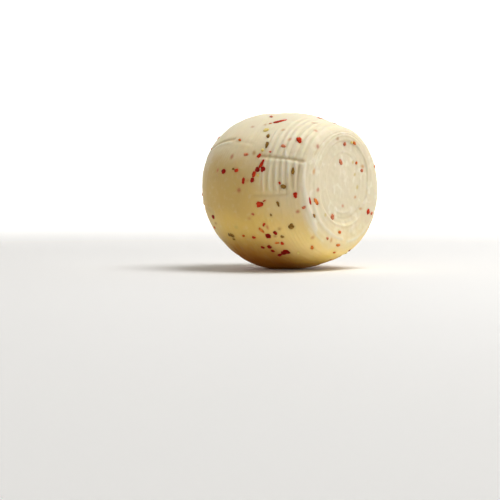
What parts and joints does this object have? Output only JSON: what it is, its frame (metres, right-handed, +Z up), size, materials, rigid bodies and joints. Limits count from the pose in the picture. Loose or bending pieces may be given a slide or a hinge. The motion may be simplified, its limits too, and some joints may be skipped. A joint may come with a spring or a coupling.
{
  "type": "chili pepper caciotta",
  "caption": "Small round caciotta cheese with dried chilli flakes pressed into its ivory skin, lying on its curved side.",
  "frame": {"origin": "on the surface that the cheese lies on, under the middle of its box", "axes": "+X along the axis of the round, out of the face that looks at the viewer's right; +Z up"},
  "size_m": [0.1124, 0.1318, 0.1211],
  "materials": {
    "cheese": "waxy ivory skin, with red and dark red chilli flakes"
  },
  "bodies": {
    "root": {"caciotta": "cheese"}
  },
  "joints": []
}
